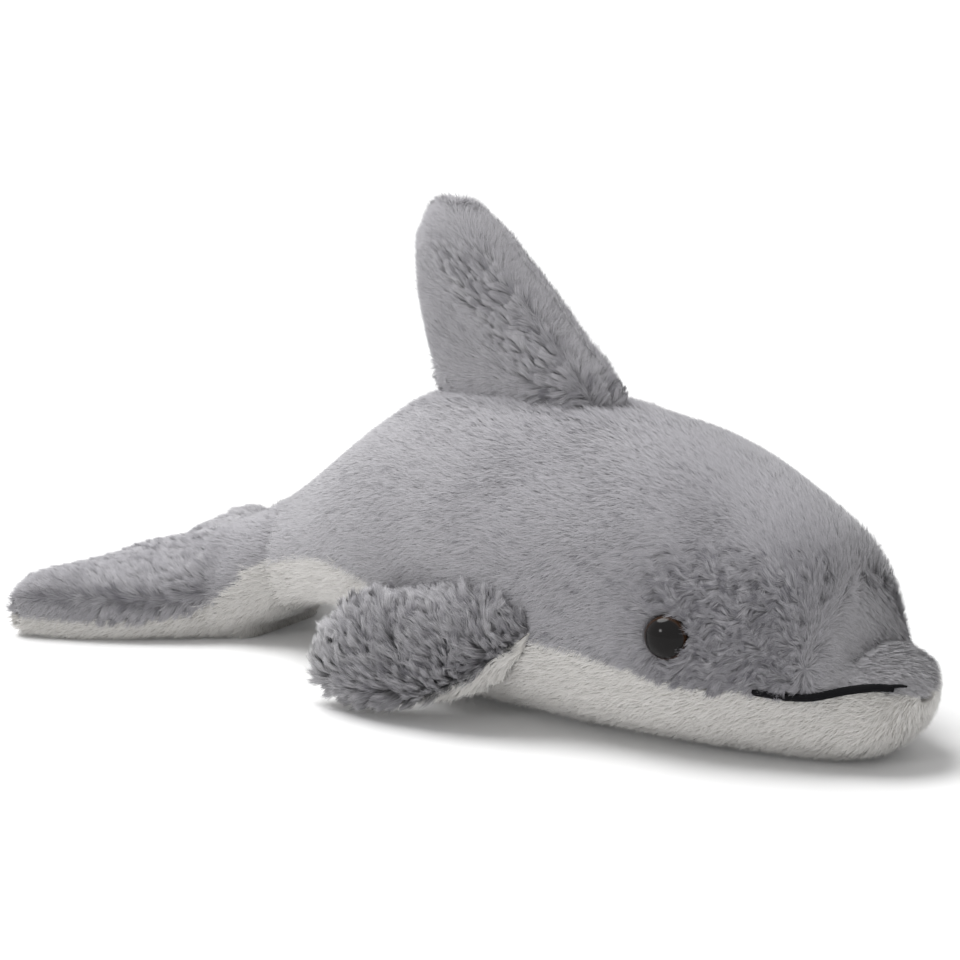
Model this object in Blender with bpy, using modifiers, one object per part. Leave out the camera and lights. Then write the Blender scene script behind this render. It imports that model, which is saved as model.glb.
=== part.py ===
# Plush dolphin: a sewn and stuffed soft toy that lies on its belly.
# +X points to the snout, +Y to the animal's left, +Z up. Z = 0 is the surface it lies on,
# Y = 0 is the plane of symmetry. Metres throughout.
#
# Every cushion of the toy is the same kind of thing: cut panels of pile fabric, sewn along
# their edges and stuffed. Each outer skin is a surface with two parameters, the panels are
# patches of it with a wall of fabric, and the filling is the same surface set in by that wall.

import bmesh
import bpy
import numpy as np
from mathutils import Matrix, Vector

# Fabric and fits
FABRIC = 0.0020            # backing and pile of one plush panel
SEAM_GAP = 0.0004          # between two panels at their seam
FILLING_GAP = 0.0008       # between a panel and the filling behind it
SEAM_ALLOWANCE = 0.0064    # folded edge of the fabric inside a flat cushion
SPLIT = 0.0001             # half the width of a strip on the plane of symmetry
EDGE_TURN = 1e-6           # keeps the flukes' two skins on their own side of the seam

# Body, from the tail seam to the tip of the snout
TAIL_X = -0.0870           # where the lines of the body start, inside the flukes
TAIL_SEAM_SHIFT = 0.0100   # the flukes are sewn on this far in front of it
SNOUT_TIP_X = 0.1398
BACK_HEIGHT = 0.0840       # top of the back above the floor
BODY_HALF_WIDTH = 0.0430
TAIL_HEIGHT = 0.0300       # top of the tail at TAIL_X
TAIL_HALF_WIDTH = 0.0150
ARCH_HEIGHT = 0.0150       # clear height under the tail
BEAK_HALF_WIDTH = 0.0175
BEAK_TOP = 0.0320          # top of the beak where it leaves the forehead
BEAK_LENGTH = 0.0180
SNOUT_TIP_Z = 0.0210
BELLY_PRESS = 0.0016       # how far the belly is pressed flat by its own weight
FLATNESS = 1e-6            # heights under this belong to the flat of the belly
SEAM_HEIGHT = 0.0300       # side seam at the flipper, above the floor
MOUTH_CORNER_X = 0.1045

# Dorsal fin
FIN_TOP = 0.1345
FIN_REAR_X = -0.0200       # rear end of its base
FIN_FRONT_X = 0.0425       # front end of its base
FIN_TOP_X = -0.0165        # middle of its rounded top
FIN_TOP_HALF_LENGTH = 0.0125
FIN_HALF_THICKNESS = 0.0095
FIN_BASE_GAP = 0.0008

# Tail flukes
FLUKE_HALF_SPAN = 0.0555
FLUKE_NOTCH_X = -0.1230
FLUKE_TIP_X = -0.1330
FLUKE_REAR_SWEEP = 0.0067  # how far the rear edge passes the tips
FLUKE_THICKNESS = 0.0190
FLUKE_SEAM_Z = 0.0070
FLUKE_TOP_ARCH = 0.75      # how full the upper skin is, 1 being an ellipse and 0 a box
FLUKE_UNDER_ARCH = 0.60    # the same for the under skin
FLUKE_PRESS = 1.25         # over 1 the under skin is pressed flat by the weight

# Flippers
FLIPPER_ROOT = (0.0265, 0.0315)             # middle of the root, X and Z
FLIPPER_TIP = (-0.0255, 0.0500, 0.0100)     # X, Y and Z on the left side
FLIPPER_BOW = 0.0030                        # how far its middle stands out
FLIPPER_DIP = 0.0010                        # and how far it hangs
FLIPPER_CHORD = 0.0330
FLIPPER_THICKNESS = 0.0150
FLIPPER_SAG = 0.0110                        # how far the under panel hangs down near the root
FLIPPER_SAG_ARCH = 0.7                      # how full it hangs, as for the flukes
FLIPPER_FREE = 0.22                         # share of its length along which it leaves the body
FLIPPER_ROOT_GAP = 0.0009

# Eyes: a domed plastic eye with a stem, locked by a washer behind the fabric
EYE_X = 0.0820
EYE_Z = 0.0345
EYE_RADIUS = 0.0062
EYE_DOME = 0.0042
EYE_FLANGE = 0.0010
EYE_SEAT_DEPTH = 0.0011
STEM_RADIUS = 0.0019
STEM_CLEARANCE = 0.0003
WASHER_RADIUS = 0.0060
WASHER_THICKNESS = 0.0012
STEM_PAST_WASHER = 0.0015

# Embroidered mouth line
MOUTH_THREAD_RADIUS = 0.0008
MOUTH_END_Y = 0.0110       # where the line stops beside the tip of the snout

# Mesh density: rings along a piece and rows across a panel
BODY_RINGS = 32
SIDE_ROWS = 10
BELLY_ROWS = 8
FIN_RINGS = 12
FLUKE_RINGS = 15           # on each side of the middle
FLIPPER_RINGS = 11
CUSHION_ROWS = 9
LAST_RING = 0.985          # last ring of a rounded end, as a share of the way to its pole


def smooth_curve(points):
    """Smooth curve through (position, value) points that never overshoots them."""
    xs = np.array([p[0] for p in points], float)
    ys = np.array([p[1] for p in points], float)
    step = np.diff(xs)
    slope = np.diff(ys) / step
    tangent = np.zeros(len(xs))
    tangent[0] = slope[0]
    tangent[-1] = slope[-1]
    for i in range(1, len(xs) - 1):
        if slope[i - 1] * slope[i] > 0:
            w1 = 2 * step[i] + step[i - 1]
            w2 = step[i] + 2 * step[i - 1]
            tangent[i] = (w1 + w2) / (w1 / slope[i - 1] + w2 / slope[i])

    def value(x):
        x = min(max(x, xs[0]), xs[-1])
        i = min(int(np.searchsorted(xs, x, side="right")) - 1, len(xs) - 2)
        t = (x - xs[i]) / step[i]
        h00 = (1 + 2 * t) * (1 - t) ** 2
        h10 = t * (1 - t) ** 2
        h01 = t * t * (3 - 2 * t)
        h11 = t * t * (t - 1)
        return h00 * ys[i] + h10 * step[i] * tangent[i] + h01 * ys[i + 1] + h11 * step[i] * tangent[i + 1]

    return value


def rounded_end(x, start, end, power):
    """1 up to start, then down to 0 at end like the shoulder of an ellipse."""
    if x <= start:
        return 1.0
    share = min((x - start) / (end - start), 1.0)
    return (1.0 - share ** power) ** (1.0 / power)


# Body lines: each is a smooth curve over X, held at a few shares of the body's length
TAIL_SEAM_X = TAIL_X + TAIL_SEAM_SHIFT
BODY_LENGTH = SNOUT_TIP_X - TAIL_X
BEAK_ROOT_X = SNOUT_TIP_X - BEAK_LENGTH


def along(share):
    """X at a share of the way from TAIL_X to the tip of the snout."""
    return TAIL_X + share * BODY_LENGTH


def between(low, high, share):
    return low + (high - low) * share


def unit(vector):
    return np.array(vector) / np.linalg.norm(vector)


back_line = smooth_curve(
    [(along(s), between(TAIL_HEIGHT, BACK_HEIGHT, rise)) for s, rise in (
        (0.00, 0.00), (0.05, 0.155), (0.12, 0.370), (0.20, 0.645), (0.29, 0.900), (0.38, 0.985),
        (0.46, 1.00), (0.57, 0.985))]
    + [(along(s), between(BEAK_TOP, BACK_HEIGHT, rise)) for s, rise in (
        (0.66, 0.930), (0.73, 0.845), (0.785, 0.740), (0.83, 0.645), (0.87, 0.515), (0.903, 0.345))]
    + [(BEAK_ROOT_X, BEAK_TOP), (between(BEAK_ROOT_X, SNOUT_TIP_X, 0.5), BEAK_TOP * 0.93),
       (SNOUT_TIP_X, BEAK_TOP * 0.80)])

belly_line = smooth_curve(
    [(along(s), rise) for s, rise in (
        (0.00, ARCH_HEIGHT * 0.15), (0.05, ARCH_HEIGHT * 0.40), (0.12, ARCH_HEIGHT * 0.85),
        (0.20, ARCH_HEIGHT), (0.29, ARCH_HEIGHT * 0.50), (0.36, 0.0), (0.42, -BELLY_PRESS),
        (0.83, -BELLY_PRESS), (0.90, -BELLY_PRESS * 0.5), (0.93, SNOUT_TIP_Z * 0.06),
        (0.96, SNOUT_TIP_Z * 0.16), (1.00, SNOUT_TIP_Z * 0.36))])

half_width_line = smooth_curve(
    [(along(s), between(TAIL_HALF_WIDTH, BODY_HALF_WIDTH, share)) for s, share in (
        (0.00, 0.00), (0.05, 0.10), (0.12, 0.28), (0.20, 0.56), (0.29, 0.79), (0.38, 0.94),
        (0.47, 1.00), (0.57, 1.00))]
    + [(along(s), between(BEAK_HALF_WIDTH, BODY_HALF_WIDTH, share)) for s, share in (
        (0.66, 0.93), (0.73, 0.82), (0.78, 0.69), (0.825, 0.55), (0.87, 0.385), (0.905, 0.23),
        (0.94, 0.06))]
    + [(SNOUT_TIP_X, BEAK_HALF_WIDTH)])

# Height of the widest point, as a share of the section's height
widest_line = smooth_curve([(along(s), share) for s, share in (
    (0.00, 0.47), (0.12, 0.44), (0.30, 0.43), (0.47, 0.41), (0.66, 0.40), (0.78, 0.42),
    (0.86, 0.46), (0.93, 0.54), (1.00, 0.57))])

# The side seam between the grey side panels and the white belly panel, and the mouth beyond it
seam_line = smooth_curve(
    [(along(s), SEAM_HEIGHT * rise) for s, rise in (
        (0.00, 0.52), (0.05, 0.75), (0.11, 0.95), (0.17, 1.10), (0.23, 1.18), (0.29, 1.13),
        (0.36, 1.05), (0.44, 1.00), (0.54, 0.95), (0.63, 0.92), (0.72, 0.82), (0.78, 0.70))]
    + [(between(MOUTH_CORNER_X, SNOUT_TIP_X, s), SNOUT_TIP_Z * rise) for s, rise in (
        (-0.15, 1.04), (0.0, 1.05), (0.20, 1.01), (0.40, 1.02), (0.62, 1.09), (0.83, 1.15), (1.0, 1.03))])

ROUNDNESS = 2.1            # exponent of the body's sections above the widest point, 2 being an ellipse
FULLNESS = 2.7             # the same exponent under it, where the toy sags on to the ground
NOSE_START_X = between(BEAK_ROOT_X, SNOUT_TIP_X, 0.25)
NOSE_POWER = 2.2


def body_section(x):
    """Top, bottom, half width and height of the widest point of the body at x."""
    shrink = rounded_end(x, NOSE_START_X, SNOUT_TIP_X, NOSE_POWER)
    top = between(SNOUT_TIP_Z, back_line(x), shrink)
    bottom = between(SNOUT_TIP_Z, belly_line(x), shrink)
    middle = between(bottom, top, widest_line(x))
    return top, bottom, half_width_line(x) * shrink, middle


def body_point(x, turn, side=1):
    """Point of the body's skin at x. turn runs from 0 under the belly to pi on the back."""
    top, bottom, half_width, middle = body_section(x)
    exponent = FULLNESS if turn < np.pi / 2 else ROUNDNESS
    across = half_width * max(np.sin(turn), 0.0) ** (2 / exponent)
    lift = abs(np.cos(turn)) ** (2 / exponent)
    if turn < np.pi / 2:
        height = middle - (middle - bottom) * lift
    else:
        height = middle + (top - middle) * lift
    return np.array([x, side * across, height if height > FLATNESS else 0.0])


def turn_at(x, height):
    """turn at which the body's section at x reaches a height."""
    top, bottom, _, middle = body_section(x)
    if height < middle:
        return float(np.arccos(((middle - height) / (middle - bottom)) ** (FULLNESS / 2)))
    return float(np.pi - np.arccos(((height - middle) / (top - middle)) ** (ROUNDNESS / 2)))


def seam_turn(x):
    """turn at which the side seam crosses the section at x."""
    shrink = rounded_end(x, NOSE_START_X, SNOUT_TIP_X, NOSE_POWER)
    return turn_at(x, between(SNOUT_TIP_Z, seam_line(x), shrink))


def body_top(x, y):
    """Height of the back at x and y."""
    top, _, half_width, middle = body_section(x)
    share = min(abs(y) / half_width, 1.0)
    return middle + (top - middle) * (1 - share ** ROUNDNESS) ** (1 / ROUNDNESS)


def body_half_width(x, z):
    """Half width of the body at x and height z."""
    top, bottom, half_width, middle = body_section(x)
    reach, exponent = (top - middle, ROUNDNESS) if z > middle else (middle - bottom, FULLNESS)
    share = min(abs(z - middle) / reach, 1.0)
    return half_width * (1 - share ** exponent) ** (1 / exponent)


def outward(surface, u, v, u_range, v_range, inside):
    """Unit normal of a surface of two parameters, pointing away from a point inside it."""
    du = (u_range[1] - u_range[0]) * 1e-4
    dv = (v_range[1] - v_range[0]) * 1e-4
    along_u = surface(min(u + du, u_range[1]), v) - surface(max(u - du, u_range[0]), v)
    along_v = surface(u, min(v + dv, v_range[1])) - surface(u, max(v - dv, v_range[0]))
    normal = np.cross(along_u, along_v)
    normal /= np.linalg.norm(normal)
    return normal if np.dot(normal, surface(u, v) - inside) > 0 else -normal


def add_object(name, mesh_builder, material):
    """New object in the dolphin's collection from a filled bmesh."""
    mesh = bpy.data.meshes.new(name)
    mesh_builder.to_mesh(mesh)
    mesh_builder.free()
    mesh.shade_smooth()
    item = bpy.data.objects.new(name, mesh)
    item.data.materials.append(material)
    dolphin.objects.link(item)
    return item


def loft(name, rings, material):
    """A closed solid through rings of points. Each ring runs along one face and back along
    the other, so that its two ends are closed by strips from face to face."""
    solid = bmesh.new()
    loops = [[solid.verts.new(p) for p in ring] for ring in rings]
    count = len(loops[0])
    for low, high in zip(loops[:-1], loops[1:]):
        for i in range(count):
            j = (i + 1) % count
            solid.faces.new((low[i], low[j], high[j], high[i]))
    for loop, order in ((loops[0], -1), (loops[-1], 1)):
        for i in range(count // 2 - 1):
            corners = (loop[i], loop[i + 1], loop[count - 2 - i], loop[count - 1 - i])
            solid.faces.new(corners[::order])
    bmesh.ops.triangulate(solid, faces=solid.faces, quad_method="SHORT_EDGE")
    if solid.calc_volume(signed=True) < 0:
        bmesh.ops.reverse_faces(solid, faces=solid.faces)
    return add_object(name, solid, material)


def band(outer, inner):
    """Section of a fabric panel: along its outer face and back along its inner face."""
    return trimmed(outer) + trimmed(inner)[::-1]


def plush(name, color, roughness=0.95):
    """Material of a piece: its mean colour in linear light, and its roughness."""
    material = bpy.data.materials.new(name)
    material.use_nodes = True
    shader = material.node_tree.nodes["Principled BSDF"]
    shader.inputs["Base Color"].default_value = (*color, 1.0)
    shader.inputs["Roughness"].default_value = roughness
    shader.inputs["Metallic"].default_value = 0.0
    return material


def trimmed(row):
    """The row of points with both ends drawn in by half a seam gap."""
    points = list(row)
    for end, inner in ((0, 1), (-1, -2)):
        step = row[inner] - row[end]
        points[end] = row[end] + step / np.linalg.norm(step) * SEAM_GAP / 2
    return points


LAST_X = between(NOSE_START_X, SNOUT_TIP_X, LAST_RING)


def body_stations():
    """X of the body's rings, closer together towards the rounded snout."""
    shares = np.linspace(0.0, 1.0, BODY_RINGS)
    return between(TAIL_SEAM_X, LAST_X, 0.55 * shares + 0.45 * np.sin(shares * np.pi / 2))


def body_inner(x, turn, depth):
    """Point of the body at a depth under its skin, on the left side."""
    centre = np.array([x, 0.0, body_section(x)[3]])
    skin = body_point(x, turn)
    normal = outward(body_point, x, turn, (TAIL_SEAM_X, LAST_X), (0.0, np.pi), centre)
    if skin[2] == 0.0:
        normal = np.array([0.0, 0.0, -1.0])
    if turn in (0.0, np.pi):
        normal = unit(normal * (1, 0, 1))
    point = skin - normal * depth
    point[0] = max(point[0], TAIL_SEAM_X)
    point[1] = max(point[1], 0.0)
    return point


def side_turns(x):
    return np.linspace(seam_turn(x), np.pi, SIDE_ROWS)


def belly_turns(x):
    """From the middle of the belly to the side seam, with one row on the edge of the flat."""
    pressed = body_section(x)[1] < 0
    edge = max(turn_at(x, 0.0) if pressed else 0.0, 0.2 * seam_turn(x))
    return np.concatenate([[0.0], np.linspace(edge, seam_turn(x), BELLY_ROWS // 2)])


def side_panel(name, side, material):
    rings = []
    for x in body_stations():
        outer = [body_inner(x, turn, 0.0) * (1, side, 1) for turn in side_turns(x)]
        inner = [body_inner(x, turn, FABRIC) * (1, side, 1) for turn in side_turns(x)]
        rings.append(band(outer, inner))
    return loft(name, rings, material)


def belly(name, material):
    rings = []
    for x in body_stations():
        faces = []
        for depth in (0.0, FABRIC):
            half = [body_inner(x, turn, depth) for turn in belly_turns(x)]
            faces.append([p * (1, -1, 1) for p in half[:0:-1]] + half)
        rings.append(band(*faces))
    return loft(name, rings, material)


def body_filling(name, material):
    rings = []
    for x in body_stations():
        turns = np.concatenate([belly_turns(x), side_turns(x)[1:]])
        half = [body_inner(x, turn, FABRIC + FILLING_GAP) for turn in turns]
        # The first and last points lie on the plane of symmetry: each is split in two
        half[0] = half[0] + (0, SPLIT, 0)
        half[-1] = half[-1] + (0, SPLIT, 0)
        rings.append(half + [p * (1, -1, 1) for p in half[::-1]])
    return loft(name, rings, material)


def cushion_point(centre, chord, lift, half_chord, half_lift, turn):
    """Point of a lens-shaped section; turn 0 is its front edge and pi its rear edge."""
    return centre + chord * (half_chord * np.cos(turn)) + lift * (half_lift * np.sin(turn))


def cushion_turns():
    return np.linspace(0.0, np.pi, CUSHION_ROWS)


def set_in(surface, s, turn, depth, ranges, inside):
    """Point at a depth under a surface, measured along its normal."""
    return surface(s, turn) - outward(surface, s, turn, *ranges, inside) * depth


def beside_seam(depth):
    """Least distance of a point at this depth from the middle surface of its cushion."""
    return SEAM_GAP / 2 if depth > 0 else 0.0


def cushion_panel(name, wall, stations, side, material):
    """One panel of a flat cushion: side 1 is the upper or left one, -1 the other.

    wall(s, turn, depth) is the point at a depth under the cushion's skin."""
    rings = []
    for s in stations:
        turns = np.linspace(0.0, np.pi, CUSHION_ROWS) * side
        rings.append(band([wall(s, turn, 0.0) for turn in turns], [wall(s, turn, FABRIC) for turn in turns]))
    return loft(name, rings, material)


def cushion_filling(name, wall, reach, stations, material):
    """Filling of a flat cushion, clear of the seam allowances at both edges."""
    depth = FABRIC + FILLING_GAP
    rings = []
    for s in stations:
        edge = np.arccos(1 - SEAM_ALLOWANCE / reach(s))
        turns = np.linspace(edge, np.pi - edge, CUSHION_ROWS - 2)
        upper = [wall(s, turn, depth) for turn in turns]
        under = [wall(s, -turn, depth) for turn in turns]
        rings.append(upper + under[::-1])
    return loft(name, rings, material)


# Dorsal fin
fin_front = smooth_curve([(s, between(FIN_FRONT_X, FIN_TOP_X + FIN_TOP_HALF_LENGTH, share))
                          for s, share in ((0.0, 0.0), (0.15, 0.14), (0.32, 0.35), (0.5, 0.52),
                                           (0.7, 0.755), (1.0, 1.0))])
fin_rear = smooth_curve([(s, between(FIN_REAR_X, FIN_TOP_X - FIN_TOP_HALF_LENGTH, share))
                         for s, share in ((0.0, 0.0), (0.2, 0.36), (0.38, 0.66), (0.6, 0.88), (1.0, 1.0))])
fin_lift = smooth_curve([(0.0, FIN_HALF_THICKNESS), (0.5, FIN_HALF_THICKNESS * 0.97),
                         (1.0, FIN_HALF_THICKNESS * 0.75)])


def fin_reach(s):
    return (fin_front(s) - fin_rear(s)) / 2 * rounded_end(s, 0.70, 1.0, 2.0)


def fin_point(s, turn):
    """s runs from the back (0) to the top of the fin (1)."""
    middle = (fin_front(s) + fin_rear(s)) / 2
    x = middle + fin_reach(s) * np.cos(turn)
    y = fin_lift(s) * rounded_end(s, 0.70, 1.0, 2.0) * np.sin(turn)
    return np.array([x, y, between(body_top(x, y) + FIN_BASE_GAP, FIN_TOP, s)])


def fin_wall(s, turn, depth):
    """Point at a depth under the fin's skin, on its own side of the seam and above the back."""
    inside = (fin_point(s, 0.0) + fin_point(s, np.pi)) / 2
    x, y, z = set_in(fin_point, s, turn, depth, ((0.0, 1.0), (-4.0, 4.0)), inside)
    y = max(y * np.sign(turn), beside_seam(depth)) * np.sign(turn)
    return np.array([x, y, max(z, body_top(x, y) + FIN_BASE_GAP)])


def tip_stations(count, end):
    """Shares of the way from root to tip, closer together towards the tip."""
    return np.sin(np.linspace(0.0, np.arcsin(end), count))


def make_fin(grey, stuffing):
    stations = tip_stations(FIN_RINGS, LAST_RING)
    cushion_panel("dorsal_fin_left_panel", fin_wall, stations, 1, grey)
    cushion_panel("dorsal_fin_right_panel", fin_wall, stations, -1, grey)
    cushion_filling("dorsal_fin_filling", fin_wall, fin_reach,
                    np.linspace(0.0, 0.90, FIN_RINGS - 3), stuffing)


# Tail flukes: one cushion across both lobes, open in front where it meets the tail
FLUKE_FRONT_X = TAIL_SEAM_X - SEAM_GAP
TAIL_SEAM_Z = seam_line(TAIL_SEAM_X)
TAIL_SEAM_HALF_WIDTH = body_half_width(TAIL_SEAM_X, TAIL_SEAM_Z)

lobe_front = smooth_curve([(t, between(FLUKE_FRONT_X, FLUKE_TIP_X, share)) for t, share in (
    (0.0, 0.0), (0.07, 0.04), (0.2, 0.14), (0.39, 0.30), (0.57, 0.48), (0.75, 0.68), (0.89, 0.85),
    (1.0, 1.0))])
lobe_rear = smooth_curve([(t, between(FLUKE_NOTCH_X, FLUKE_TIP_X - FLUKE_REAR_SWEEP, share))
                          for t, share in ((0.0, 0.0), (0.1, 0.25), (0.24, 0.62), (0.4, 0.84),
                                           (0.58, 0.95), (0.75, 0.99), (0.88, 1.0), (1.0, 0.97))])
lobe_lift = smooth_curve([(t, (FLUKE_THICKNESS - FLUKE_SEAM_Z) * share) for t, share in (
    (0.0, 0.70), (0.3, 0.97), (0.6, 1.0), (0.85, 0.97), (1.0, 0.92))])
lobe_seam = smooth_curve([(t, between(FLUKE_SEAM_Z, TAIL_SEAM_Z, share)) for t, share in (
    (0.0, 1.0), (0.12, 0.55), (0.3, 0.2), (0.6, 0.0), (1.0, 0.0))])


def fluke_frame(y):
    """Middle and half length of the chord at y, how much the rounded tip shrinks it, and
    the share of the way out along the lobe, 0 inside the tail seam."""
    out = max(abs(y) - TAIL_SEAM_HALF_WIDTH, 0.0) / (FLUKE_HALF_SPAN - TAIL_SEAM_HALF_WIDTH)
    across = abs(y) / FLUKE_HALF_SPAN
    shrink = rounded_end(across, 0.80, 1.0, 2.2)
    front = lobe_front(out)
    rear = lobe_rear(across)
    return (front + rear) / 2, (front - rear) / 2 * shrink, shrink, out, across


def tail_ring(y):
    """How far the tail's ring rises above and falls below its side seam at y."""
    if abs(y) >= TAIL_SEAM_HALF_WIDTH:
        return 0.0, 0.0
    top, bottom, _, _ = body_section(TAIL_SEAM_X)
    share = (1 - (abs(y) / TAIL_SEAM_HALF_WIDTH) ** ROUNDNESS) ** (1 / ROUNDNESS)
    return (top - TAIL_SEAM_Z) * share, (TAIL_SEAM_Z - bottom) * share


def fluke_seam(y, turn):
    """Height of the flukes' middle surface, which runs from the front seam to the rear seam."""
    return between(FLUKE_SEAM_Z, lobe_seam(fluke_frame(y)[3]), (1 + np.cos(turn)) / 2)


def fluke_point(y, turn):
    """turn 0 is the front edge, pi the rear edge; above 0 the upper skin, below 0 the under."""
    middle, reach, shrink, _, across = fluke_frame(y)
    nearness = (1 + np.cos(turn)) / 2
    seam = fluke_seam(y, turn)
    ring_up, ring_down = tail_ring(y)
    arch = abs(np.sin(turn))
    if np.sin(turn) > 0 or turn in (0.0, np.pi):
        lift = lobe_lift(across) * shrink * arch ** FLUKE_TOP_ARCH
        height = seam + np.hypot(lift, ring_up * nearness ** 1.8)
    else:
        height = seam - seam * FLUKE_PRESS * shrink * arch ** FLUKE_UNDER_ARCH - ring_down * nearness ** 2
    return np.array([middle + reach * np.cos(turn), y, max(height, 0.0)])


def fluke_stations(end):
    seam = TAIL_SEAM_HALF_WIDTH
    inner = seam * np.sin(np.linspace(0.0, np.pi / 2, 6))
    outer_count = FLUKE_RINGS - 5
    outer = seam + (FLUKE_HALF_SPAN * end - seam) * np.sin(np.linspace(0.0, np.pi / 2, outer_count))
    half = np.concatenate([inner, outer[1:]])
    return np.concatenate([-half[:0:-1], half])


def fluke_wall(y, turn, depth):
    """Point at a depth under the flukes' skin, on its own side of the seam."""
    side = 1 if turn >= 0 else -1
    turn = side * min(max(abs(turn), EDGE_TURN), np.pi - EDGE_TURN)
    span = (EDGE_TURN, np.pi - EDGE_TURN) if side > 0 else (EDGE_TURN - np.pi, -EDGE_TURN)
    inside = np.array([fluke_frame(y)[0], y * 0.98, fluke_seam(y, turn)])
    point = set_in(fluke_point, y, turn, depth, ((-FLUKE_HALF_SPAN, FLUKE_HALF_SPAN), span), inside)
    point[0] = min(point[0], FLUKE_FRONT_X)
    past = (point[2] - fluke_seam(y, turn)) * side - beside_seam(depth)
    point[2] = max(point[2] - side * min(past, 0.0), depth)
    return point


def fluke_chord(y):
    return fluke_frame(y)[1]


def make_flukes(grey, white, stuffing):
    stations = fluke_stations(LAST_RING)
    cushion_panel("tail_fluke_top", fluke_wall, stations, 1, grey)
    cushion_panel("tail_fluke_under", lambda y, turn, depth: fluke_wall(y, min(turn, -EDGE_TURN), depth),
                  stations, -1, white)
    spare = 1.5 * FILLING_GAP
    cushion_filling("tail_fluke_filling", lambda y, turn, depth: fluke_wall(y, turn, depth + spare),
                    fluke_chord, fluke_stations(0.85), stuffing)


# Flippers, modelled on the left side: flat at the root, on their front edge from the middle on
flipper_reach = smooth_curve([(s, FLIPPER_CHORD * share) for s, share in (
    (0.0, 0.47), (0.25, 0.50), (0.5, 0.47), (0.8, 0.38), (1.0, 0.30))])
flipper_droop = smooth_curve([(0.0, 0.08), (0.2, 0.32), (0.4, 0.70), (0.6, 0.84), (1.0, 0.93)])
flipper_sag = smooth_curve([(s, FLIPPER_SAG * share) for s, share in (
    (0.0, 0.5), (0.2, 1.0), (0.38, 0.55), (0.55, 0.05), (1.0, 0.0))])


def flipper_frame(s):
    root = np.array([FLIPPER_ROOT[0], body_half_width(*FLIPPER_ROOT), FLIPPER_ROOT[1]])
    bend = np.array([0.0, FLIPPER_BOW, -FLIPPER_DIP]) * 4 * s * (1 - s)
    centre = between(root, np.array(FLIPPER_TIP), s) + bend
    droop = flipper_droop(s)
    chord = unit([np.sqrt(1 - droop * droop), 0.2 * s, -droop])
    lift = between(np.array([0.0, 0.60, 0.80]), np.array([0.0, 0.93, 0.3]), s)
    lift = unit(lift - chord * np.dot(lift, chord))
    return centre, chord, lift, rounded_end(s, 0.55, 1.0, 2.2)


def flipper_point(s, turn):
    """s runs from the root (0) to the tip (1)."""
    centre, chord, lift, shrink = flipper_frame(s)
    point = cushion_point(centre, chord, lift, flipper_reach(s) * shrink,
                          FLIPPER_THICKNESS / 2 * (1 - 0.15 * s) * shrink, turn)
    if turn < 0:
        point[2] -= flipper_sag(s) * abs(np.sin(turn)) ** FLIPPER_SAG_ARCH
    point[2] = max(point[2], 0.0)
    wall = body_half_width(point[0], point[2]) + FLIPPER_ROOT_GAP
    free = min(s / FLIPPER_FREE, 1.0)
    free = free * free * (3 - 2 * free)
    point[1] = max(between(wall, point[1], free), wall)
    return point


def flipper_wall(s, turn, depth):
    """Point at a depth under a flipper's skin, on its own side of the seam and off the body."""
    inside = (flipper_point(s, np.pi / 2) + flipper_point(s, -np.pi / 2)) / 2
    point = set_in(flipper_point, s, turn, depth, ((0.0, 1.0), (-4.0, 4.0)), inside)
    side = np.sign(turn)
    lift = flipper_frame(s)[2]
    past = np.dot(point - inside, lift) * side - beside_seam(depth)
    point -= lift * side * min(past, 0.0)
    point[1] = max(point[1], body_half_width(point[0], point[2]) + FLIPPER_ROOT_GAP)
    return point


def flipper_chord(s):
    return flipper_reach(s) * flipper_frame(s)[3]


def make_flipper(side, word, grey, white, stuffing):
    def wall(s, turn, depth):
        return flipper_wall(s, turn, depth) * (1, side, 1)

    stations = tip_stations(FLIPPER_RINGS, LAST_RING)
    cushion_panel(f"flipper_{word}_top", wall, stations, 1, grey)
    cushion_panel(f"flipper_{word}_under", wall, stations, -1, white)
    cushion_filling(f"flipper_{word}_filling", wall, flipper_chord, stations[2:-3], stuffing)


# Eyes and their washers
def turned(name, profile, steps, material, close=False):
    """A turned piece: a profile in the XZ plane spun once round Z."""
    outline = bmesh.new()
    verts = [outline.verts.new((r, 0.0, z)) for r, z in profile]
    for first, second in zip(verts[:-1], verts[1:]):
        outline.edges.new((first, second))
    if close:
        outline.edges.new((verts[-1], verts[0]))
    item = add_object(name, outline, material)
    spin = item.modifiers.new("spin", "SCREW")
    spin.steps = steps
    spin.render_steps = steps
    spin.use_merge_vertices = True
    spin.merge_threshold = 0.00001
    return item


def eye_matrix(side):
    """Frame on the skin at the eye, with its Z axis out of the head."""
    turn = turn_at(EYE_X, EYE_Z)
    inside = np.array([EYE_X, 0.0, body_section(EYE_X)[3]])
    place = body_point(EYE_X, turn)
    normal = outward(body_point, EYE_X, turn, (TAIL_SEAM_X, SNOUT_TIP_X), (0.0, np.pi), inside)
    place, normal = place * (1, side, 1), normal * (1, side, 1)
    spin = Vector(normal).to_track_quat("Z", "Y")
    return Matrix.Translation(Vector(place)) @ spin.to_matrix().to_4x4()


WASHER_DEPTH = FABRIC + 0.0009     # face of the washer below the skin, behind the curved panel
STEM_END = WASHER_DEPTH + WASHER_THICKNESS + STEM_PAST_WASHER


def cutter(name, radius, low, high, matrix):
    """A cylinder that cuts a hole or a seat, along the eye's axis."""
    solid = bmesh.new()
    bmesh.ops.create_cone(solid, cap_ends=True, segments=20, radius1=radius, radius2=radius,
                          depth=high - low)
    bmesh.ops.translate(solid, verts=solid.verts, vec=(0, 0, (high + low) / 2))
    mesh = bpy.data.meshes.new(name)
    solid.to_mesh(mesh)
    solid.free()
    item = bpy.data.objects.new(name, mesh)
    item.matrix_world = matrix
    item.hide_render = True
    item.display_type = "WIRE"
    cutters.objects.link(item)
    return item


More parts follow.
